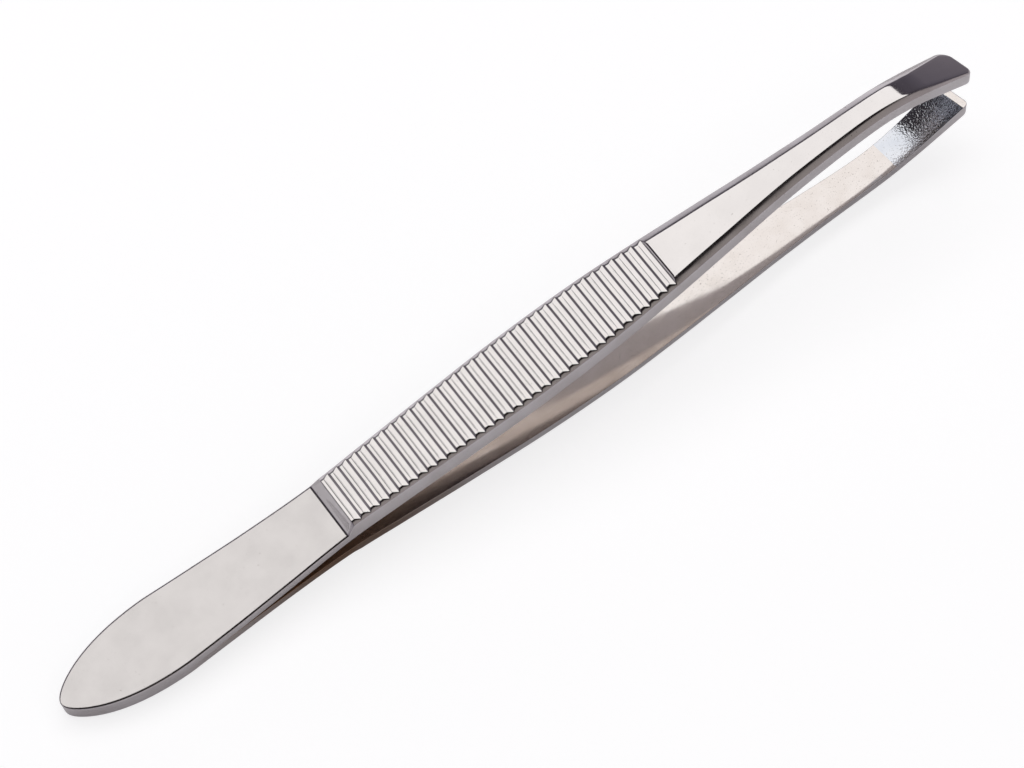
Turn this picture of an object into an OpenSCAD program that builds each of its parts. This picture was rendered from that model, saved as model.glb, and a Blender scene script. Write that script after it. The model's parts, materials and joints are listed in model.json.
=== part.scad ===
// Slant tweezers: two mirrored spring steel arms, spot welded to each other at the tail.
// Each arm is one forged strip: a thin tail leaf, a ribbed grip, a smooth neck and a slanted claw.
// An arm flexes in its thin leaf, between the welds and the grip. Solids can't flex, so each arm is
// cut in the middle of that stretch, where a round knuckle turns in a seat across the leaf.
// The arm is drawn with the mid-plane of the tweezers at Z = 0, the tail end at X = 0 and the tips
// towards +X, and is then laid down on its lower arm, as the tweezers lie on a table.

/* [Arm] */
// Length from the tail end to the foremost corner of the tips
arm_length = 90; // [89:0.25:91]
// Length of the thin leaf, from the tail end to the foot of the step up to the grip
leaf_length = 26; // [25:0.25:26]
// Thickness of the thin leaf
leaf_t = 1.06; // [0.9:0.02:1.2]
// Length of the step between the leaf and the grip
step_length = 0.8; // [0.7:0.05:1.3]

/* [Tail] */
// Length of the rounded end of the tail
tail_round = 10; // [8:0.5:10]
// Half the width where the rounded end is at its widest
tail_half_w = 3.4; // [3.2:0.05:3.6]
// How far the rounded end is drawn in from an ellipse
tail_taper = 0.36; // [0:0.02:0.5]
// Distance from the tail end to where the two leaves part
part_x = 11.5; // [11:0.25:12.5]

/* [Ribs] */
// Number of cross ribs on the grip
rib_count = 35; // [20:1:35]
// Distance from one rib's crest to the next
rib_pitch = 0.92; // [0.8:0.01:0.92]
// Depth of the grooves between the ribs
rib_depth = 0.125; // [0.08:0.005:0.17]
// Share of the pitch that is a rib's flat crest
rib_land = 0.33; // [0.3:0.01:0.5]
// Share of the pitch at which a groove is deepest; the flank behind it is the steeper one
rib_bottom = 0.81; // [0.65:0.01:0.85]
// How far the ribs' crests stay below the neck's outer face
rib_drop = 0.08; // [0.06:0.01:0.12]

/* [Claw] */
// Where the claw's end starts to turn slanted
slant_start = 78; // [76:0.5:82]
// Slant of the claw's end edge, the -Y corner foremost
slant = 14; // [5:1:20]
// Radius of the end's foremost corner
near_corner = 0.6; // [0.4:0.1:1]
// Radius of the end's rear corner
far_corner = 1.0; // [0.5:0.1:1.2]
// Half of the gap between the tips at rest
tip_half_gap = 2.2; // [2.1:0.05:2.4]

/* [Welds] */
// Diameter of a spot weld
weld_d = 2.4; // [1.5:0.1:3]
// Depth of a spot weld into each leaf
weld_depth = 0.5; // [0.3:0.05:0.6]
// Distances of the spot welds from the tail end
weld_xs = [4.5, 8.5]; // [4:0.5:9]

/* [Flexure] */
// Distance from the tail end to the axis about which an arm flexes
flex_x = 18.5; // [17:0.5:20]
// Free space between a knuckle and its seat
flex_clearance = 0.03; // [0.02:0.01:0.06]
// Distance between the closed tips
closed_gap = 0.04; // [0.02:0.01:0.1]

/* [Hidden] */
$fn = 48;
steel = "gainsboro";
weld_steel = "lightslategray";

// The stretch of the neck whose outer face is flat, on which the tweezers lie
flat_xs = [60, 70];

// Each list below holds [distance from the tail end, value] pairs.
// Half of the arm's width, in front of the rounded end
half_widths = [
    [tail_round, tail_half_w], [15, 3.18], [20, 2.93], [26, 2.72], [31, 2.87], [38, 3.12], [45, 3.3],
    [52, 3.22], [58, 2.88], [64, 2.4], [70, 1.88], [76, 1.55], [82, 1.42], [90, 1.56]];
// Slope of the inner face away from the mid-plane: the arm opens out, runs straight along the neck,
// levels off, then claws inwards
inner_slopes = [
    [part_x, 0], [23.5, 0.1], [48, 0.092], [flat_xs[0], 0.086], [flat_xs[1], 0.086], [72.5, 0.04],
    [78, 0.03], [80.5, -0.06], [85.5, -0.48], [91, -0.5]];
// Thickness of the grip, the neck and the claw
grip_ts = [[27, 2.02], [48, 1.78], [flat_xs[0], 1.68], [flat_xs[1], 1.61], [84, 1.59], [90, 1.8]];
// Height of the bevel between the side wall and the outer face
bevel_hs = [[27, 0.3], [84, 0.3], [90, 0.12]];
// Draft of the side wall: how far its top stands in from its foot
drafts = [[27, 0.2], [62, 0.2], [80, 0.08], [90, 0]];
// How far the outer face's edge stands in from the side wall's foot
bevel_ws = [[27, 0.7], [48, 0.73], [61.5, 0.87], [70, 0.81], [80, 0.68], [85, 0.5], [90, 0.1]];

grip_start = leaf_length + step_length;     // top of the step, where the first rib's crest begins
rib_end = grip_start + rib_count * rib_pitch;
slant_reach = straight(half_widths, arm_length) * tan(slant);
end_x = arm_length - slant_reach;           // the end edge, measured on the arm's middle line
leaf_edge = 0.04;                           // inset of the leaf's outer edge, close to sharp
seat_back = 0.3;                            // how far the tail leaf stops short of the flex axis

// Index of the span of list k that holds x
function span(k, x) = max(0, min(len(k) - 2, len([for (p = k) if (p[0] <= x) p]) - 1));
// Straight-line reading of list k at x
function straight(k, x) = lookup(x, k);
// Slope of the smooth curve at knot i of list k
function knot_slope(k, i) =
    let (a = max(0, i - 1), b = min(len(k) - 1, i + 1)) (k[b][1] - k[a][1]) / (k[b][0] - k[a][0]);
// Smooth reading of list k at x: a cubic between each two knots
function smooth(k, x) =
    let (i = span(k, x), h = k[i + 1][0] - k[i][0], s = max(0, min(1, (x - k[i][0]) / h)))
    (2 * s ^ 3 - 3 * s ^ 2 + 1) * k[i][1] + (s ^ 3 - 2 * s ^ 2 + s) * h * knot_slope(k, i)
    + (3 * s ^ 2 - 2 * s ^ 3) * k[i + 1][1] + (s ^ 3 - s ^ 2) * h * knot_slope(k, i + 1);
// Area under list k's straight lines from its first knot to x
function area_to(k, x, i = 0) =
    i > len(k) - 2 || x <= k[i][0] ? 0
    : let (b = min(x, k[i + 1][0])) (k[i][1] + straight(k, b)) / 2 * (b - k[i][0]) + area_to(k, x, i + 1);
// Smooth rise from 0 to 1
function ease(s) = let (t = max(0, min(1, s))) t * t * (3 - 2 * t);

// Half-width of the rounded end at angle a round it, and its place along the arm
function tail_w(a) = tail_half_w * sin(a) * sqrt(1 - tail_taper * cos(a) ^ 4);
function tail_x(a) = tail_round * (1 - cos(a));
// How far the arm has opened out from the mid-plane at x
function opening(x) = area_to(inner_slopes, x);
// Height of the inner face above the mid-plane, with the flat gripping pad at its tip
function inner_z(x) = max(opening(x), x > 80 ? pad_z(x) : 0);
function pad_z(x) = closed_gap / 2 + (x - flex_x) * (tip_half_gap - closed_gap / 2) / (end_x - flex_x);
// Share of the step climbed at x: nearly straight, with a soft foot and top
function climb(x) = let (s = max(0, min(1, (x - leaf_length) / step_length))) 0.75 * s + 0.25 * ease(s);
// Depth of a groove at share s of the pitch: flat crest, long front flank, short steep rear flank
function rib_dip(s) =
    rib_depth * (s < rib_land ? 0
    : s < rib_bottom ? (s - rib_land) / (rib_bottom - rib_land) : (1 - s) / (1 - rib_bottom));
// Depth of the rib grooves at x, below the neck's outer face
function groove(x) =
    x < grip_start ? rib_drop * climb(x)
    : x > rib_end + 0.01 ? 0
    : let (pitches = (x - grip_start) / rib_pitch + 0.001) rib_drop + rib_dip(pitches - floor(pitches));
function crest_t(x) = leaf_t + (straight(grip_ts, x) - leaf_t) * climb(x);
function arm_t(x) = crest_t(x) - groove(x);
function bevel_h(x) = straight(bevel_hs, x) * climb(x);
function draft(x) = straight(drafts, x) * climb(x);
// Inset of the outer face's edge: a groove cuts it back along the bevel
function bevel_w(x) =
    let (full = leaf_edge + (straight(bevel_ws, x) - leaf_edge) * climb(x))
    bevel_h(x) < 0.01 ? full : full - (full - draft(x)) * groove(x) / bevel_h(x);
// How far a corner of radius r draws the side in, at distance e from the end edge
function corner_in(e, r) = e >= r ? 0 : r - sqrt(r * r - (r - e) ^ 2);
// Forward shift of a point at (x, y) that makes the end edge slanted
function slant_shift(x, y) = -y * tan(slant) * max(0, x - slant_start) / (end_x - slant_start);

// One cross-section of the upper arm, round the middle line
function section(x) =
    let (w = smooth(half_widths, x), z = inner_z(x), b = bevel_w(x), d = draft(x),
         top = opening(x) + arm_t(x), shoulder = opening(x) + crest_t(x) - bevel_h(x),
         near = corner_in(end_x - x, near_corner) - w, far = w - corner_in(end_x - x, far_corner))
    [for (p = [[near, z], [far, z], [far - d, shoulder], [far - b, top], [near + b, top], [near + d, shoulder]])
        [x + slant_shift(x, p[0]), p[0], p[1]]];

// Where the sections stand: close together on the step, the ribs, the bend and the corners
rib_marks = [0, rib_land, rib_bottom];
corner_steps = 6;
stations = concat(
    [for (x = [flex_x : 1.5 : leaf_length - 0.1]) x],
    [for (i = [0 : 5]) leaf_length + i * step_length / 6],
    [for (i = [0 : rib_count - 1], s = rib_marks) grip_start + (i + s) * rib_pitch],
    [rib_end], flat_xs, [for (x = [flat_xs[1] + 4 : 2 : slant_start - 1]) x],
    [for (x = [slant_start : 0.75 : end_x - far_corner - 0.1]) x],
    [for (i = [0 : corner_steps]) end_x - far_corner * (1 - sin(i * 90 / corner_steps))]);

flex_z = inner_z(flex_x) + leaf_t / 2;      // height of the flex axis, in the middle of the leaf
flex_r = leaf_t / 2 - 0.03;
closing_angle = atan((tip_half_gap - closed_gap / 2) / (end_x - flex_x));
// Laid down, the tweezers rest on the tail's end and on the fattest stretch of the lower arm
lay_angle = max([for (x = stations) if (x > grip_start) atan((opening(x) + crest_t(x) - leaf_t) / x)]);
tip_outer_z = opening(end_x) + crest_t(end_x);
rear_x = -2 * leaf_t * sin(lay_angle);
front_x = arm_length * cos(lay_angle) + (tip_outer_z - leaf_t) * sin(lay_angle);

// Lays the drawn tweezers down on the table, centred over the origin
module laid() {
    translate([-(rear_x + front_x) / 2, 0, 0]) rotate([0, -lay_angle, 0]) translate([0, 0, leaf_t]) children();
}

// Plan outline of the leaf, up to just past the flex axis
module leaf_plan() {
    side = concat(
        [for (a = [0 : 5 : 85]) [tail_x(a), tail_w(a)]],
        [for (x = [tail_round : 1 : flex_x + 1]) [x, smooth(half_widths, x)]]);
    polygon(concat(side, [for (i = [len(side) - 1 : -1 : 1]) [side[i][0], -side[i][1]]]));
}

// Side outline of the tail leaf: flat where it is welded, then curving away from the mid-plane
module leaf_side() {
    stop_x = flex_x - seat_back;
    curve = concat([0], [for (x = [part_x : 0.7 : stop_x - 0.1]) x], [stop_x]);
    polygon(concat(
        [for (x = curve) [x, inner_z(x)]],
        [for (i = [len(curve) - 1 : -1 : 0]) [curve[i], inner_z(curve[i]) + leaf_t]]));
}

// A pin across the leaf on the flex axis
module flex_pin(r, half_length) {
    translate([flex_x, 0, flex_z]) rotate([90, 0, 0]) cylinder(r = r, h = 2 * half_length, center = true);
}

// The spot welds as discs that reach equally far into both leaves
module weld_discs() {
    for (x = weld_xs) translate([x, 0, 0]) cylinder(d = weld_d, h = 2 * weld_depth, center = true);
}

module tail_leaf() {
    color(steel) difference() {
        intersection() {
            linear_extrude(3) leaf_plan();
            rotate([90, 0, 0]) linear_extrude(8, center = true) leaf_side();
        }
        flex_pin(flex_r + flex_clearance, 4);
        weld_discs();
    }
}

// The arm in front of the flex axis: half of the springy leaf, the step, grip, neck and claw
module arm() {
    rings = [for (x = stations) section(x)];
    count = len(rings[0]);
    last = (len(rings) - 1) * count;
    color(steel) union() {
        polyhedron(
            points = [for (ring = rings) each ring],
            faces = concat(
                [[for (j = [0 : count - 1]) j]],
                [for (i = [0 : len(rings) - 2], j = [0 : count - 1])
                    let (a = i * count + j, b = i * count + (j + 1) % count) [a, a + count, b + count, b]],
                [[for (j = [count - 1 : -1 : 0]) last + j]]));
        flex_pin(flex_r, smooth(half_widths, flex_x) - 0.02);
    }
}

module upper_tail_leaf() { laid() tail_leaf(); }
module lower_tail_leaf() { laid() mirror([0, 0, 1]) tail_leaf(); }
module weld_spots() { laid() color(weld_steel) weld_discs(); }
module upper_arm() { laid() arm(); }
module lower_arm() { laid() mirror([0, 0, 1]) arm(); }

upper_tail_leaf();
lower_tail_leaf();
weld_spots();
upper_arm();
lower_arm();
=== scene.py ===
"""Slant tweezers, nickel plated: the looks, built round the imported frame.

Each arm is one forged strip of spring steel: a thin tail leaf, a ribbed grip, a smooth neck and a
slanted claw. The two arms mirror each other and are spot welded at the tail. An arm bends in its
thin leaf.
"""

import json
import logging
import math
from dataclasses import dataclass, field, replace
from enum import Enum

import bmesh
import bpy
from mathutils import Matrix, Quaternion, Vector, noise


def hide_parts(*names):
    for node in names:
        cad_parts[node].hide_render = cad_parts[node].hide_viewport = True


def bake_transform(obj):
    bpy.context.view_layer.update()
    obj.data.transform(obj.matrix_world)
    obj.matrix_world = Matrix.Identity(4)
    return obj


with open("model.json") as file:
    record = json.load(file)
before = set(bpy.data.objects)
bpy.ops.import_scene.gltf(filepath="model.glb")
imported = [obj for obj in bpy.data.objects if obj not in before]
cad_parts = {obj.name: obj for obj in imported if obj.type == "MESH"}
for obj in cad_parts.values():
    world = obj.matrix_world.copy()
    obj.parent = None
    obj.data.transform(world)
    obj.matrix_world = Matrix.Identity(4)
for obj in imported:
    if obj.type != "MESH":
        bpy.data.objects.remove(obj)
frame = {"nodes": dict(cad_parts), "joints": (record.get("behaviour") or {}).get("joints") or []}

logging.basicConfig(level=logging.INFO, format="%(message)s")
log = logging.getLogger("tweezers")

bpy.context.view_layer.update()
MM = 0.001
Knots = tuple[tuple[float, float], ...]
# A step far below any size that shows, in millimetres or in shares of a rib's pitch
NUDGE = 1e-5
# Pits show where their noise rises past PIT_NONE, less PIT_GAIN for each unit of pit_share
PIT_NONE = 0.74
PIT_GAIN = 2.2
PIT_EDGE = 0.08


def straight(knots: Knots, x: float) -> float:
    """Straight-line reading of a list of (position, value) knots.

    Args:
        knots: The (position, value) pairs, in rising order.
        x: The position to read at.

    Returns:
        The value at x, or the end value outside the list.
    """
    if x <= knots[0][0]:
        return knots[0][1]
    for (xa, a), (xb, b) in zip(knots, knots[1:]):
        if x <= xb:
            return a + (b - a) * (x - xa) / (xb - xa)
    return knots[-1][1]


def smooth(knots: Knots, x: float) -> float:
    """Smooth reading of a list of knots: a cubic between each two of them.

    Args:
        knots: The (position, value) pairs, in rising order.
        x: The position to read at.

    Returns:
        The value at x.
    """
    last = len(knots) - 1
    i = max([k for k in range(last) if knots[k][0] <= x], default=0)

    def slope(k: int) -> float:
        """Slope of the curve at knot k."""
        a, b = knots[max(0, k - 1)], knots[min(last, k + 1)]
        return (b[1] - a[1]) / (b[0] - a[0])

    (xa, a), (xb, b) = knots[i], knots[i + 1]
    h = xb - xa
    s = min(1.0, max(0.0, (x - xa) / h))
    return (
        (2 * s**3 - 3 * s**2 + 1) * a
        + (s**3 - 2 * s**2 + s) * h * slope(i)
        + (3 * s**2 - 2 * s**3) * b
        + (s**3 - s**2) * h * slope(i + 1)
    )


def area_to(knots: Knots, x: float) -> float:
    """Area under the straight lines of a list of knots.

    Args:
        knots: The (position, value) pairs, in rising order.
        x: Where the area ends.

    Returns:
        The area from the first knot to x.
    """
    total = 0.0
    for (xa, a), (xb, _) in zip(knots, knots[1:]):
        if x > xa:
            end = min(x, xb)
            total += (a + straight(knots, end)) / 2 * (end - xa)
    return total


def ease(s: float) -> float:
    """Smooth rise from 0 to 1 as s goes from 0 to 1."""
    t = min(1.0, max(0.0, s))
    return t * t * (3 - 2 * t)


def corner_in(e: float, r: float) -> float:
    """How far a round corner of radius r draws a side in, at distance e from its end."""
    return 0.0 if e >= r else r - math.sqrt(r * r - (r - max(0.0, e)) ** 2)


def linear_colour(hex_code: str) -> tuple[float, float, float, float]:
    """Turns an sRGB hex value into the linear colour that shaders take.

    Args:
        hex_code: The colour as #RRGGBB.

    Returns:
        Linear red, green and blue, and an alpha of 1.
    """
    parts = [int(hex_code[i : i + 2], 16) / 255 for i in (1, 3, 5)]
    red, green, blue = [c / 12.92 if c <= 0.04045 else ((c + 0.055) / 1.055) ** 2.4 for c in parts]
    return red, green, blue, 1.0


def add_node(
    tree: bpy.types.NodeTree, kind: str, links: dict | None = None, **settings: object
) -> bpy.types.Node:
    """Adds a shader node with its settings and links.

    Args:
        tree: The node tree that takes it.
        kind: The node's type, such as ShaderNodeBump.
        links: Output sockets to link, by the name or number of the input they go to.
        **settings: Node properties, and input values by name with spaces as underscores.

    Returns:
        The new node.
    """
    node = tree.nodes.new(kind)
    for key, value in settings.items():
        if hasattr(node, key):
            setattr(node, key, value)
        else:
            node.inputs[key.replace("_", " ")].default_value = value
    for key, socket in (links or {}).items():
        tree.links.new(socket, node.inputs[key])
    return node


class Surface(Enum):
    """The surfaces of an arm, each with a finish of its own."""

    OUTER = 0
    SIDE = 1
    INNER = 2
    TAIL = 3
    CLAW = 4


class Side(Enum):
    """Which of the two arms it is: the sign of its height above the mid-plane."""

    UPPER = 1
    LOWER = -1


@dataclass(frozen=True)
class NickelFinish:
    """Bright nickel plate on spring steel, which mirrors soft light.

    The plate follows the steel below it, so polishing lines, the slight waves of hand polishing and
    fine pits all show in it. Sizes are in millimetres.
    """

    name: str
    tone: str = "#DAD7D6"
    shade: str = "#D6D3D2"
    pit_tone: str = "#8A827D"
    roughness: float = 0.05
    roughness_spread: float = 0.03
    cloud_size: float = 2.4
    wave_size: float = 5.0
    wave_depth: float = 0.001
    line_pitch: float = 0.12
    line_length: float = 3.0
    line_depth: float = 0.0001
    pit_size: float = 0.12
    pit_share: float = 0.0
    pit_depth: float = 0.001
    # Brown tarnish and painted shade deep between the arms: the plate is painted darker and browner from the
    # start reach along X, and this fades back out up to the end reach
    tarnish_and_shade_tone: str = "#A5886C"
    tarnish_and_shade_start: float = -200.0
    tarnish_and_shade_end: float = -100.0
    tarnish_and_shade_fade: float = 20.0
    tarnish_and_shade_roughness: float = 0.3

    def material(self) -> bpy.types.Material:
        """Makes the finish's node material.

        Returns:
            The material, on Object coordinates in millimetres.
        """
        made = bpy.data.materials.new(self.name)
        made.use_nodes = True
        tree = made.node_tree
        tree.nodes.clear()
        place = add_node(tree, "ShaderNodeTexCoord").outputs["Object"]
        flat = add_node(tree, "ShaderNodeMapping", {"Vector": place}, Scale=(1 / MM,) * 3)
        along = add_node(
            tree,
            "ShaderNodeMapping",
            {"Vector": place},
            Scale=(1 / self.line_length / MM, 1 / self.line_pitch / MM, 1 / self.line_pitch / MM),
        )
        clouds = add_node(
            tree, "ShaderNodeTexNoise", {"Vector": flat.outputs[0]}, Scale=1 / self.cloud_size, Detail=4.0
        )
        waves = add_node(
            tree, "ShaderNodeTexNoise", {"Vector": flat.outputs[0]}, Scale=1 / self.wave_size, Detail=1.0
        )
        lines = add_node(tree, "ShaderNodeTexNoise", {"Vector": along.outputs[0]}, Scale=1.0, Detail=2.0)
        pits = add_node(
            tree, "ShaderNodeTexNoise", {"Vector": flat.outputs[0]}, Scale=1 / self.pit_size, Detail=1.0
        )
        pit_start = PIT_NONE - PIT_GAIN * self.pit_share
        pit = add_node(
            tree,
            "ShaderNodeMapRange",
            {"Value": pits.outputs[0]},
            interpolation_type="SMOOTHSTEP",
            From_Min=pit_start,
            From_Max=pit_start + PIT_EDGE,
        )
        cloud = add_node(
            tree, "ShaderNodeMapRange", {"Value": clouds.outputs[0]}, From_Min=0.35, From_Max=0.65
        )
        plate = add_node(tree, "ShaderNodeMix", {0: cloud.outputs[0]}, data_type="RGBA")
        plate.inputs[6].default_value = linear_colour(self.tone)
        plate.inputs[7].default_value = linear_colour(self.shade)
        # Painted shade with some tarnish: a browner, darker and rougher band of the plate between the start
        # and end reaches along X
        along_x = add_node(tree, "ShaderNodeSeparateXYZ", {0: place})
        begun, ended = [
            add_node(
                tree,
                "ShaderNodeMapRange",
                {"Value": along_x.outputs[0]},
                interpolation_type="SMOOTHSTEP",
                From_Min=(reach - self.tarnish_and_shade_fade) * MM,
                From_Max=reach * MM,
            )
            for reach in (self.tarnish_and_shade_start, self.tarnish_and_shade_end)
        ]
        tarnish_and_shade = add_node(
            tree, "ShaderNodeMath", {0: begun.outputs[0], 1: ended.outputs[0]}, operation="SUBTRACT"
        )
        tarnish_and_shade_painted = add_node(
            tree, "ShaderNodeMix", {0: tarnish_and_shade.outputs[0], 6: plate.outputs[2]}, data_type="RGBA"
        )
        tarnish_and_shade_painted.inputs[7].default_value = linear_colour(self.tarnish_and_shade_tone)
        pitted = add_node(
            tree, "ShaderNodeMix", {0: pit.outputs[0], 6: tarnish_and_shade_painted.outputs[2]}, data_type="RGBA"
        )
        pitted.inputs[7].default_value = linear_colour(self.pit_tone)
        worn = add_node(
            tree, "ShaderNodeMath", {0: cloud.outputs[0], 1: lines.outputs[0]}, operation="MULTIPLY"
        )
        rough = add_node(
            tree,
            "ShaderNodeMapRange",
            {"Value": worn.outputs[0]},
            From_Min=0.0,
            From_Max=0.6,
            To_Min=self.roughness,
            To_Max=self.roughness + self.roughness_spread,
        )
        dulled = add_node(
            tree, "ShaderNodeMath", {0: tarnish_and_shade.outputs[0], 2: rough.outputs[0]}, operation="MULTIPLY_ADD"
        )
        dulled.inputs[1].default_value = self.tarnish_and_shade_roughness
        wavy = add_node(
            tree, "ShaderNodeBump", {"Height": waves.outputs[0]}, Strength=1.0, Distance=self.wave_depth * MM
        )
        lined = add_node(
            tree,
            "ShaderNodeBump",
            {"Height": lines.outputs[0], "Normal": wavy.outputs[0]},
            Strength=1.0,
            Distance=self.line_depth * MM,
        )
        dented = add_node(
            tree,
            "ShaderNodeBump",
            {"Height": pit.outputs[0], "Normal": lined.outputs[0]},
            invert=True,
            Strength=1.0,
            Distance=self.pit_depth * MM,
        )
        shader = add_node(
            tree,
            "ShaderNodeBsdfPrincipled",
            {"Base Color": pitted.outputs[2], "Roughness": dulled.outputs[0], "Normal": dented.outputs[0]},
            Metallic=1.0,
        )
        add_node(tree, "ShaderNodeOutputMaterial", {"Surface": shader.outputs[0]})
        return made


@dataclass(frozen=True)
class WeldFinish:
    """A spot weld's fused steel: dull grey and coarse, with a blued heat tint round its middle."""

    name: str = "fused_weld_steel"
    tone: str = "#8A8C8F"
    heat_tint: str = "#6C6A78"
    roughness: float = 0.45
    grain_size: float = 0.25
    grain_depth: float = 0.01

    def material(self) -> bpy.types.Material:
        """Makes the finish's node material.

        Returns:
            The material, on Object coordinates in millimetres.
        """
        made = bpy.data.materials.new(self.name)
        made.use_nodes = True
        tree = made.node_tree
        tree.nodes.clear()
        place = add_node(tree, "ShaderNodeTexCoord").outputs["Object"]
        flat = add_node(tree, "ShaderNodeMapping", {"Vector": place}, Scale=(1 / MM,) * 3)
        grain = add_node(
            tree, "ShaderNodeTexNoise", {"Vector": flat.outputs[0]}, Scale=1 / self.grain_size, Detail=3.0
        )
        tint = add_node(tree, "ShaderNodeMix", {0: grain.outputs[0]}, data_type="RGBA")
        tint.inputs[6].default_value = linear_colour(self.tone)
        tint.inputs[7].default_value = linear_colour(self.heat_tint)
        rough = add_node(
            tree,
            "ShaderNodeMapRange",
            {"Value": grain.outputs[0]},
            To_Min=self.roughness - 0.1,
            To_Max=self.roughness + 0.15,
        )
        bump = add_node(
            tree, "ShaderNodeBump", {"Height": grain.outputs[0]}, Strength=1.0, Distance=self.grain_depth * MM
        )
        shader = add_node(
            tree,
            "ShaderNodeBsdfPrincipled",
            {"Base Color": tint.outputs[2], "Roughness": rough.outputs[0], "Normal": bump.outputs[0]},
            Metallic=1.0,
        )
        add_node(tree, "ShaderNodeOutputMaterial", {"Surface": shader.outputs[0]})
        return made


@dataclass(frozen=True)
class Lay:
    """Where the drawn tweezers lie: turned about Y by their lay angle, and moved."""

    angle: float
    pivot: Vector
    pivot_x: float

    @classmethod
    def from_joints(cls, joints: list[dict], pivot_x: float) -> "Lay":
        """Reads the lay from the two flex axes, which stand square to the mid-plane.

        Args:
            joints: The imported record's joints.
            pivot_x: Distance of the flex axes from the tail end, in millimetres.

        Returns:
            The lay.
        """
        at = {j["name"]: Vector(j["pos_m"]) / MM for j in joints}
        upper, lower = at["upper_arm_flex"], at["lower_arm_flex"]
        across = upper - lower
        return cls(math.atan2(-across.x, across.z), (upper + lower) / 2, pivot_x)

    def matrix(self) -> Matrix:
        """The move from the drawn frame, in millimetres, to the row frame, in metres."""
        turn = Matrix.Rotation(-self.angle, 4, "Y")
        return (
            Matrix.Scale(MM, 4)
            @ Matrix.Translation(self.pivot)
            @ turn
            @ Matrix.Translation(Vector((-self.pivot_x, 0, 0)))
        )

    def point(self, x: float) -> Vector:
        """A point of the drawn mid-line, in the row frame."""
        return self.matrix() @ Vector((x, 0, 0))


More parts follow.
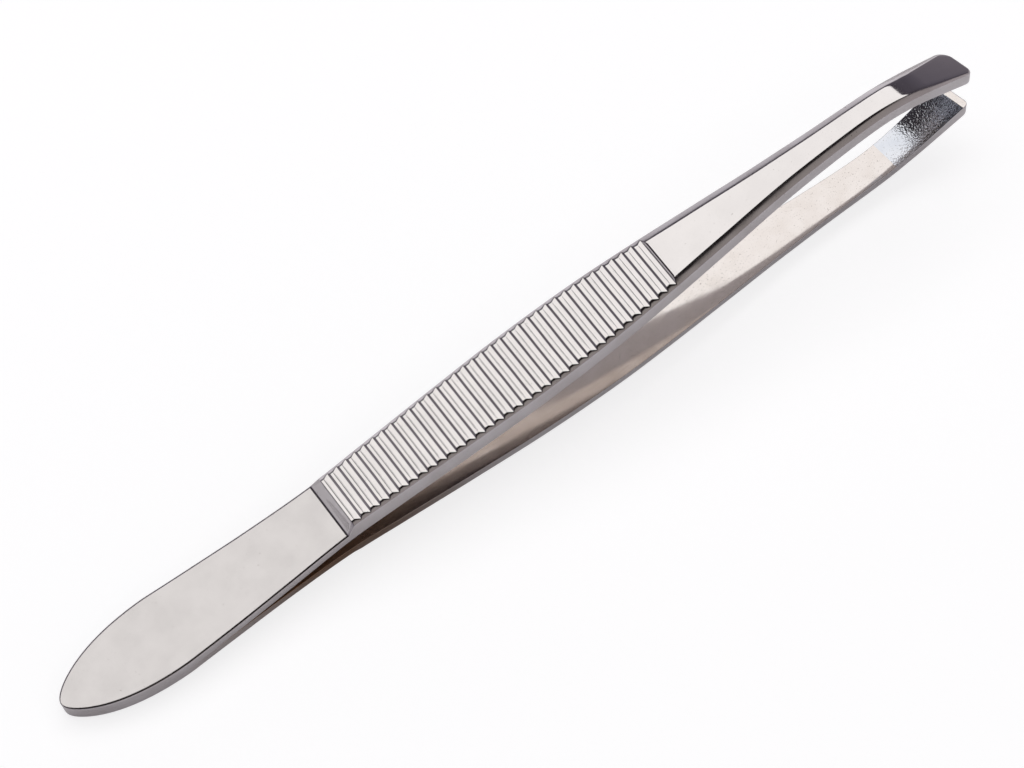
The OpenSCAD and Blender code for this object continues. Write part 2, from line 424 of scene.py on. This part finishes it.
@dataclass(frozen=True)
class ArmShape:
    """The arm's shape in millimetres, drawn with the mid-plane at Z 0 and the tail end at X 0.

    Each knot list holds (distance from the tail end, value) pairs.
    """

    length: float = 90.0
    leaf_length: float = 26.0
    leaf_t: float = 1.06
    step_length: float = 0.8
    tail_round: float = 10.0
    tail_half_w: float = 3.4
    tail_taper: float = 0.36
    part_x: float = 11.5
    rib_count: int = 35
    rib_pitch: float = 0.92
    rib_depth: float = 0.125
    rib_land: float = 0.33
    rib_bottom: float = 0.81
    rib_drop: float = 0.08
    slant_start: float = 78.0
    slant: float = 14.0
    near_corner: float = 0.6
    far_corner: float = 1.0
    tip_half_gap: float = 2.2
    closed_gap: float = 0.04
    claw_start: float = 82.2
    pad_start: float = 88.9
    flex_x: float = 18.5
    half_widths: Knots = (
        (10, 3.4), (15, 3.18), (20, 2.93), (26, 2.72), (31, 2.87), (38, 3.12), (45, 3.3),
        (52, 3.22), (58, 2.88), (64, 2.4), (70, 1.88), (76, 1.55), (82, 1.42), (90, 1.56),
    )
    inner_slopes: Knots = (
        (11.5, 0), (23.5, 0.1), (48, 0.092), (60, 0.086), (70, 0.086), (72.5, 0.04),
        (78, 0.03), (80.5, -0.06), (85.5, -0.48), (91, -0.5),
    )
    grip_ts: Knots = ((27, 2.02), (48, 1.78), (60, 1.68), (70, 1.61), (84, 1.59), (90, 1.8))
    bevel_hs: Knots = ((27, 0.3), (84, 0.3), (90, 0.12))
    drafts: Knots = ((27, 0.2), (62, 0.2), (80, 0.08), (90, 0))
    bevel_ws: Knots = ((27, 0.7), (48, 0.73), (61.5, 0.87), (70, 0.81), (80, 0.68), (85, 0.5), (90, 0.1))
    # The polished edges' rounding, and the width and height that polishing wears off the leaf's edge
    outer_edge: float = 0.2
    side_edge: float = 0.07
    inner_edge: float = 0.05
    end_edge: float = 0.09
    leaf_worn: tuple[float, float] = (0.19, 0.055)
    # The cutter leaves a fine lip on each crest's front edge, and hand-cut ribs wander a little
    rib_lip: float = 0.018
    lip_width: float = 0.03
    rib_wander: float = 0.022
    wander_size: float = 2.6
    # Rounding of the leaves' inner edges where they lie against each other
    seam_edge: float = 0.012
    # The sections' spacing: where the tail's first one stands and how far apart they turn, in degrees,
    # the leaf's spacing in millimetres, and the number of spans of each other stretch
    tail_first: float = 2.0
    tail_turn: float = 2.2
    tail_count: int = 40
    leaf_spacing: float = 0.35
    step_spans: int = 18
    neck_spans: int = 56
    claw_spans: int = 52
    end_spans: int = 24

    @property
    def grip_start(self) -> float:
        """The top of the step, where the first rib's crest begins."""
        return self.leaf_length + self.step_length

    @property
    def rib_end(self) -> float:
        """Where the ribs give way to the smooth neck."""
        return self.grip_start + self.rib_count * self.rib_pitch

    @property
    def end_x(self) -> float:
        """The claw's end edge, measured on the arm's middle line."""
        return self.length - straight(self.half_widths, self.length) * math.tan(math.radians(self.slant))

    def climb(self, x: float) -> float:
        """Share of the step climbed at x."""
        s = min(1.0, max(0.0, (x - self.leaf_length) / self.step_length))
        return 0.75 * s + 0.25 * ease(s)

    def half_width(self, x: float) -> float:
        """Half of the arm's width at x, the rounded tail included."""
        if x >= self.tail_round:
            return smooth(self.half_widths, x)
        c = 1 - x / self.tail_round
        return self.tail_half_w * math.sqrt(max(0.0, 1 - c * c)) * math.sqrt(1 - self.tail_taper * c**4)

    def opening(self, x: float) -> float:
        """How far the arm has opened out from the mid-plane at x."""
        return area_to(self.inner_slopes, x)

    def inner_z(self, x: float) -> float:
        """Height of the inner face above the mid-plane, with the flat gripping pad at its tip."""
        closed = self.closed_gap / 2
        pad = closed + (x - self.flex_x) * (self.tip_half_gap - closed) / (self.end_x - self.flex_x)
        return max(self.opening(x), pad if x > 80 else 0.0)

    def crest_t(self, x: float) -> float:
        """Thickness up to the neck's outer face."""
        return self.leaf_t + (straight(self.grip_ts, x) - self.leaf_t) * self.climb(x)

    def groove(self, x: float) -> float:
        """Depth below the neck's outer face at x, on the step and on the ribs."""
        if x < self.grip_start:
            return self.rib_drop * self.climb(x)
        pitches = (x - self.grip_start) / self.rib_pitch + NUDGE
        if pitches >= self.rib_count:
            return 0.0
        s = pitches - math.floor(pitches)
        lip = self.rib_lip * max(0.0, 1 - abs(s - self.rib_land) / self.lip_width)
        if s < self.rib_land:
            dip = 0.0
        elif s < self.rib_bottom:
            dip = (s - self.rib_land) / (self.rib_bottom - self.rib_land)
        else:
            dip = (1 - s) / (1 - self.rib_bottom)
        last = pitches > self.rib_count - (1 - self.rib_bottom)
        drop = self.rib_drop * (dip if last else 1.0)
        return drop + self.rib_depth * dip - lip

    def wander(self, x: float, y: float) -> float:
        """How far a rib strays along the arm at x, at the place y across it."""
        inside = ease((x - self.grip_start) / self.rib_pitch) * ease((self.rib_end - x) / self.rib_pitch)
        return self.rib_wander * inside * noise.noise(Vector((x, y, 1.0)) / self.wander_size)

    def stations(self) -> list[float]:
        """Distances from the tail end at which the section is placed.

        Returns:
            The distances, close together where the shape turns quickly.
        """
        turns = [self.tail_first + self.tail_turn * k for k in range(self.tail_count)]
        tail = [self.tail_round * (1 - math.cos(math.radians(turn))) for turn in turns]
        leaf_count = round((self.leaf_length - self.tail_round) / self.leaf_spacing)
        leaf = [self.tail_round + self.leaf_spacing * k for k in range(leaf_count)]
        step = [self.leaf_length + self.step_length * k / self.step_spans for k in range(self.step_spans)]
        # Shares of the pitch: along the crest, over its lip, down the front flank and up the rear one
        land, bottom, lip = self.rib_land, self.rib_bottom, self.lip_width
        marks = [0.0, 0.03, 0.15, land - lip, land, land + lip, 0.45, 0.56, 0.67, bottom - 0.03, bottom]
        marks += [bottom + 0.03, 0.89, 0.97]
        ribs = [self.grip_start + (i + s) * self.rib_pitch for i in range(self.rib_count) for s in marks]
        ribs.append(self.rib_end)
        neck_length = self.slant_start - self.rib_end
        neck = [self.rib_end + neck_length * k / self.neck_spans for k in range(1, self.neck_spans)]
        claw_length = self.end_x - self.far_corner - self.slant_start
        claw = [self.slant_start + claw_length * k / self.claw_spans for k in range(self.claw_spans)]
        end_turns = [90 * k / self.end_spans for k in range(self.end_spans + 1)]
        end = [self.end_x - self.far_corner * (1 - math.sin(math.radians(turn))) for turn in end_turns]
        return tail + leaf + step + ribs + neck + claw + end

    def corners(self, x: float) -> list[tuple[Vector, float]]:
        """The section's six corners at x, each with its rounding.

        Args:
            x: Distance from the tail end.

        Returns:
            (Corner as (y, z), radius) for the near and far foot of the inner face, then the far
            shoulder, the far and near edge of the outer face, and the near shoulder.
        """
        w, rise, groove = self.half_width(x), self.climb(x), self.groove(x)
        crest_z = self.opening(x) + self.crest_t(x)
        worn_w, worn_h = self.leaf_worn
        bevel_h = worn_h + (straight(self.bevel_hs, x) - worn_h) * rise
        draft = straight(self.drafts, x) * rise
        full = worn_w + (straight(self.bevel_ws, x) - worn_w) * rise
        end = corner_in(self.end_x - x, self.end_edge)
        tail_end = corner_in(x, self.end_edge)
        near_in = corner_in(self.end_x - x, self.near_corner) + end
        far_in = corner_in(self.end_x - x, self.far_corner) + end

        def edge(side: float, drawn_in: float) -> tuple[Vector, Vector]:
            """Shoulder and outer edge on one side."""
            inset = full - (full - draft) * min(1.0, groove / bevel_h) * rise
            out = w - drawn_in
            shoulder = Vector((side * max(0.02, out - draft), crest_z - bevel_h - end - tail_end))
            outer = Vector((side * max(0.01, out - inset), crest_z - groove - end - tail_end))
            return shoulder, outer

        near_shoulder, near_outer = edge(-1, near_in)
        far_shoulder, far_outer = edge(1, far_in)
        opening = max(self.seam_edge, self.inner_edge * ease((x - self.part_x) / 2))
        foot_z = self.inner_z(x) + end
        return [
            (Vector((near_in - w, foot_z)), opening),
            (Vector((w - far_in, foot_z)), opening),
            (far_shoulder, self.side_edge),
            (far_outer, self.outer_edge),
            (near_outer, self.outer_edge),
            (near_shoulder, self.side_edge),
        ]


@dataclass
class Arm:
    """One arm: a sheet wrapped round the arm's sections and closed at both ends."""

    side: Side
    lay: Lay
    shape: ArmShape = field(default_factory=ArmShape)
    arc_steps: int = 4
    # How many faces lie across the inner face, far wall, far bevel, outer face, near bevel and near wall
    spans: tuple[int, ...] = (5, 1, 1, 9, 1, 1)
    # The largest share of a side that a corner's rounding takes up
    most_rounding: float = 0.36
    surfaces: tuple[Surface, ...] = (
        Surface.INNER, Surface.SIDE, Surface.SIDE, Surface.OUTER, Surface.SIDE, Surface.SIDE,
    )

    @property
    def ring_count(self) -> int:
        """How many points lie round a section."""
        return len(self.spans) * self.arc_steps + sum(self.spans)

    def ring_surfaces(self) -> list[Surface]:
        """The surface that each face round a section belongs to."""
        kinds = []
        half = self.arc_steps // 2
        for i, (span, surface) in enumerate(zip(self.spans, self.surfaces)):
            kinds += [self.surfaces[i - 1]] * half + [surface] * (self.arc_steps - half) + [surface] * span
        return kinds

    def ring(self, x: float) -> list[Vector]:
        """The points round the section at x.

        Args:
            x: Distance from the tail end, in millimetres.

        Returns:
            The points in the drawn frame, in millimetres.
        """
        shape = self.shape
        corners = shape.corners(x)
        points = []
        arcs = []
        for i, (corner, radius) in enumerate(corners):
            back, ahead = corners[i - 1][0] - corner, corners[(i + 1) % len(corners)][0] - corner
            r = min(radius, self.most_rounding * back.length, self.most_rounding * ahead.length)
            steps = [k / self.arc_steps for k in range(self.arc_steps + 1)]
            back.normalize()
            ahead.normalize()
            arcs.append([corner + r * ((1 - s) ** 2 * back + s**2 * ahead) for s in steps])
        for i, arc in enumerate(arcs):
            points += arc
            goal = arcs[(i + 1) % len(arcs)][0]
            points += [arc[-1].lerp(goal, k / self.spans[i]) for k in range(1, self.spans[i])]
        slope = math.tan(math.radians(shape.slant))
        slant = slope * max(0.0, x - shape.slant_start) / (shape.end_x - shape.slant_start)
        return [Vector((x - p.x * slant + shape.wander(x, p.x), p.x, self.side.value * p.y)) for p in points]

    def build(self, name: str) -> bpy.types.Object:
        """Builds the arm's closed mesh in the row frame.

        Args:
            name: The piece's name.

        Returns:
            The arm's object, at the origin.
        """
        stations = self.shape.stations()
        rings = [self.ring(x) for x in stations]
        kinds = self.ring_surfaces()
        sheet = bmesh.new()
        bmesh.ops.create_grid(sheet, x_segments=len(rings) - 1, y_segments=self.ring_count, size=0.5)
        for face in sheet.faces:
            middle = face.calc_center_median()
            surface = kinds[int((middle.y + 0.5) * self.ring_count)]
            x = stations[int((middle.x + 0.5) * (len(rings) - 1))]
            if surface is Surface.OUTER and x < self.shape.leaf_length:
                surface = Surface.TAIL
            if surface is Surface.INNER and self.shape.claw_start < x < self.shape.pad_start:
                surface = Surface.CLAW
            face.material_index = surface.value
            face.smooth = True
        for v in sheet.verts:
            along = round((v.co.x + 0.5) * (len(rings) - 1))
            round_it = round((v.co.y + 0.5) * self.ring_count) % self.ring_count
            v.co = rings[along][round_it]
        bmesh.ops.remove_doubles(sheet, verts=sheet.verts, dist=NUDGE)
        rims = [e for e in sheet.edges if e.is_boundary]
        caps = bmesh.ops.holes_fill(sheet, edges=rims, sides=0)["faces"]
        for face in caps:
            face.material_index = Surface.SIDE.value
            face.smooth = True
        bmesh.ops.recalc_face_normals(sheet, faces=sheet.faces)
        sheet.transform(self.lay.matrix())
        mesh = bpy.data.meshes.new(name)
        sheet.to_mesh(mesh)
        sheet.free()
        piece = bpy.data.objects.new(name, mesh)
        bpy.context.scene.collection.objects.link(piece)
        return piece


@dataclass
class TweezerArms:
    """Both forged arms, with the finish of each of their surfaces.

    Attributes:
        lay: Where the tweezers lie.
        shape: The shape that both arms share.
    """

    lay: Lay
    shape: ArmShape = field(default_factory=ArmShape)
    # Outer faces: buffed to a mirror before plating, so they throw back whatever light is above
    outer: NickelFinish = NickelFinish("nickel_mirror_polish")
    # The tail's flat faces: buffed less hard than the rest, so the plate stays a little greyer
    tail: NickelFinish = NickelFinish(
        "nickel_satin_buff", tone="#C9C6C5", shade="#C4C1C0", roughness=0.1, roughness_spread=0.08,
        wave_depth=0.002,
    )
    # Walls and bevels: ground lengthwise on a belt, so they blur what they mirror along one line
    sides: NickelFinish = NickelFinish(
        "nickel_over_belt_grinding", tone="#D2CFCF", shade="#C8C4C3", roughness=0.12, roughness_spread=0.1,
        line_pitch=0.1, line_depth=0.0006, pit_share=0.01,
    )
    # Inner faces: plated over the forged skin, which keeps a fine speckle; deep between the arms, towards the
    # tail, they are painted browner and darker as shade with some tarnish
    inner: NickelFinish = NickelFinish(
        "nickel_over_forged_skin", tone="#DCD7D4", shade="#D7D1CD", roughness=0.07, roughness_spread=0.06,
        cloud_size=1.6, pit_size=0.09, pit_share=0.03, tarnish_and_shade_end=-6.0,
    )
    # Inside of the claw: no tool reaches it, so the plate stays lumpy and sparkles
    claw: NickelFinish = NickelFinish(
        "nickel_lumpy_plate", tone="#D8DBE0", shade="#CCD1D9", roughness=0.06, roughness_spread=0.05,
        wave_size=0.16, wave_depth=0.014, pit_size=0.1, pit_share=0.03,
    )

    def build(self) -> list[bpy.types.Object]:
        """Builds both arms, in place of the imported arm parts.

        Returns:
            The two pieces.
        """
        finishes = {
            Surface.OUTER: self.outer, Surface.SIDE: self.sides, Surface.INNER: self.inner,
            Surface.TAIL: self.tail, Surface.CLAW: self.claw,
        }
        materials = {surface: finish.material() for surface, finish in finishes.items()}
        # The lower arm's walls and bevels near the tail: painted dark brown shade, standing in for the
        # shadowed floor that they mirror, with some tarnish
        tarnish_and_painted_shade = replace(
            self.sides, name="nickel_tarnish_and_painted_shade", tarnish_and_shade_tone="#70563F", tarnish_and_shade_start=-20.0, tarnish_and_shade_end=2.0
        ).material()
        pieces = []
        for side, word in ((Side.UPPER, "upper"), (Side.LOWER, "lower")):
            piece = Arm(side, self.lay, self.shape).build(f"{word}_arm_forging")
            for surface in Surface:
                # Only the lower arm's sides take the painted shade and tarnish
                tarnish_and_shade_painted = side is Side.LOWER and surface is Surface.SIDE
                piece.data.materials.append(tarnish_and_painted_shade if tarnish_and_shade_painted else materials[surface])
            shading = piece.modifiers.new("even_shading", "WEIGHTED_NORMAL")
            shading.weight = 60
            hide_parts(f"{word}_tail_leaf", f"{word}_arm")
            self.lay.point(self.shape.part_x)
            self.lay.point(self.shape.leaf_length)
            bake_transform(piece)
            pieces.append(piece)
        return pieces


@dataclass
class SpotWelds:
    """The fused nuggets between the leaves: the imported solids, with a weld's finish."""

    node: str = "weld_spots"
    finish: WeldFinish = WeldFinish()

    def dress(self) -> bpy.types.Object:
        """Gives the welds their material and returns them."""
        welds = frame["nodes"][self.node]
        welds.data.materials.clear()
        welds.data.materials.append(self.finish.material())
        return welds


@dataclass(frozen=True)
class Softbox:
    """A flat diffused lamp, with its place and size in metres. It hangs level, or faces the tweezers."""

    name: str
    middle: tuple[float, float, float]
    size: tuple[float, float]
    radiance: float
    colour: str = "#FFFFFF"
    mirrored: bool = True
    level: bool = True

    def hang(self) -> bpy.types.Object:
        """Makes the lamp and returns it."""
        lamp = bpy.data.lights.new(self.name, "AREA")
        lamp.shape = "RECTANGLE"
        lamp.size, lamp.size_y = self.size
        lamp.energy = self.radiance * math.pi * self.size[0] * self.size[1]
        lamp.color = linear_colour(self.colour)[:3]
        hung = bpy.data.objects.new(self.name, lamp)
        hung.location = self.middle
        if not self.level:
            hung.rotation_euler = (-hung.location).to_track_quat("-Z", "Y").to_euler()
        hung.visible_glossy = self.mirrored
        bpy.context.scene.collection.objects.link(hung)
        return hung


@dataclass
class Studio:
    """The pale floor, the soft light and the camera."""

    # The camera's direction from the tweezers, its tilt, its distance and its focal length
    azimuth: float = -35.272
    elevation: float = 65.477
    roll: float = -0.724
    distance: float = 0.28329
    focal_length: float = 122.95
    aim: tuple[float, float, float] = (-0.000814, 0.000604, 0.004572)
    floor_size: float = 4.0
    # How far each floor sheet lies below the tweezers, so that neither cuts into them
    floor_drop: float = 0.00002
    mirrored_drop: float = 0.00003
    # The floor glows like a lit sheet, which keeps the tweezers' shadow faint
    floor_tone: str = "#A0A0A2"
    floor_glow: float = 0.74
    # The sheet that the metal mirrors is an ordinary pale paper
    mirrored_tone: str = "#D8D6DA"
    mirrored_glow: float = 0.06
    boxes: tuple[Softbox, ...] = (
        Softbox("overhead_softbox", (0.145, 0.315, 0.6), (0.97, 0.57), 1.2, "#FFFDFC"),
        Softbox("near_fill_card", (0.2, -0.53, 0.44), (1.3, 0.66), 0.36, "#F4EAE6", level=False),
        Softbox("far_fill_card", (0.25, 0.85, 0.2), (1.3, 0.4), 0.55, "#F6F4F8", level=False),
        Softbox("floor_wash", (0.0, 0.0, 1.4), (2.4, 2.4), 0.62, mirrored=False),
    )
    # Brightness of the room by the sine of the elevation above the horizon
    room: tuple[tuple[float, str], ...] = (
        (0.0, "#B4B0B6"), (0.15, "#A8A3AA"), (0.3, "#7C767E"), (0.42, "#625D67"), (0.6, "#4F4A53"),
        (0.82, "#2A2526"), (1.0, "#1C191A"),
    )

    def lay_floor(self) -> None:
        """Lays the floor: one sheet that the lens sees, and one below it that the metal mirrors."""
        for name, tone, glow, drop, seen in (
            ("floor", self.floor_tone, self.floor_glow, self.floor_drop, True),
            ("floor_in_the_metal", self.mirrored_tone, self.mirrored_glow, self.mirrored_drop, False),
        ):
            bm = bmesh.new()
            bmesh.ops.create_grid(bm, x_segments=1, y_segments=1, size=self.floor_size / 2)
            bmesh.ops.translate(bm, verts=bm.verts, vec=(0, 0, -drop))
            mesh = bpy.data.meshes.new(name)
            bm.to_mesh(mesh)
            bm.free()
            sheet = bpy.data.objects.new(name, mesh)
            bpy.context.scene.collection.objects.link(sheet)
            paper = bpy.data.materials.new(name)
            paper.use_nodes = True
            shader = paper.node_tree.nodes["Principled BSDF"]
            shader.inputs["Base Color"].default_value = linear_colour(tone)
            shader.inputs["Roughness"].default_value = 0.9
            shader.inputs["Specular IOR Level"].default_value = 0.0
            shader.inputs["Emission Color"].default_value = linear_colour("#FFFFFF")
            shader.inputs["Emission Strength"].default_value = glow
            sheet.data.materials.append(paper)
            sheet.visible_camera = seen
            sheet.visible_glossy = not seen
            sheet.visible_diffuse = False
            sheet.visible_shadow = False

    def light_room(self) -> None:
        """Lights the room: a dim gradient that is darkest overhead."""
        world = bpy.data.worlds.new("room")
        bpy.context.scene.world = world
        world.use_nodes = True
        tree = world.node_tree
        tree.nodes.clear()
        direction = add_node(tree, "ShaderNodeTexCoord").outputs["Generated"]
        parts = add_node(tree, "ShaderNodeSeparateXYZ", {0: direction})
        ramp = add_node(tree, "ShaderNodeValToRGB", {0: parts.outputs[2]})
        while len(ramp.color_ramp.elements) < len(self.room):
            ramp.color_ramp.elements.new(0.5)
        for element, (sine, tone) in zip(ramp.color_ramp.elements, self.room):
            element.position = sine
            element.color = linear_colour(tone)
        glow = add_node(tree, "ShaderNodeBackground", {0: ramp.outputs[0]})
        add_node(tree, "ShaderNodeOutputWorld", {0: glow.outputs[0]})

    def set_camera(self) -> bpy.types.Object:
        """Sets up the camera and returns it."""
        a, e = math.radians(self.azimuth), math.radians(self.elevation)
        back = Vector((math.sin(a) * math.cos(e), -math.cos(a) * math.cos(e), math.sin(e)))
        lens = bpy.data.cameras.new("camera")
        lens.sensor_width = 36
        lens.lens = self.focal_length
        lens.clip_start, lens.clip_end = 0.01, 20
        camera = bpy.data.objects.new("camera", lens)
        camera.rotation_mode = "QUATERNION"
        tilt = Quaternion((0, 0, 1), math.radians(self.roll))
        camera.rotation_quaternion = (-back).to_track_quat("-Z", "Y") @ tilt
        camera.location = Vector(self.aim) + back * self.distance
        bpy.context.scene.collection.objects.link(camera)
        bpy.context.scene.camera = camera
        return camera

    def build(self) -> None:
        """Sets up the floor, the lights, the room and the camera."""
        self.lay_floor()
        for box in self.boxes:
            box.hang()
        self.light_room()
        self.set_camera()
        bpy.context.scene.view_settings.view_transform = "Standard"


def report(piece: bpy.types.Object) -> None:
    """Logs a piece's name and how many faces it has."""
    log.info("%s: %d faces", piece.name, len(piece.data.polygons))


def main() -> None:
    """Builds the tweezers and the studio, and notes the sizes."""
    shape = ArmShape()
    lay = Lay.from_joints(frame["joints"], shape.flex_x)
    for piece in TweezerArms(lay, shape).build():
        report(piece)
    report(SpotWelds().dress())
    Studio().build()


if __name__ == "__main__":
    main()
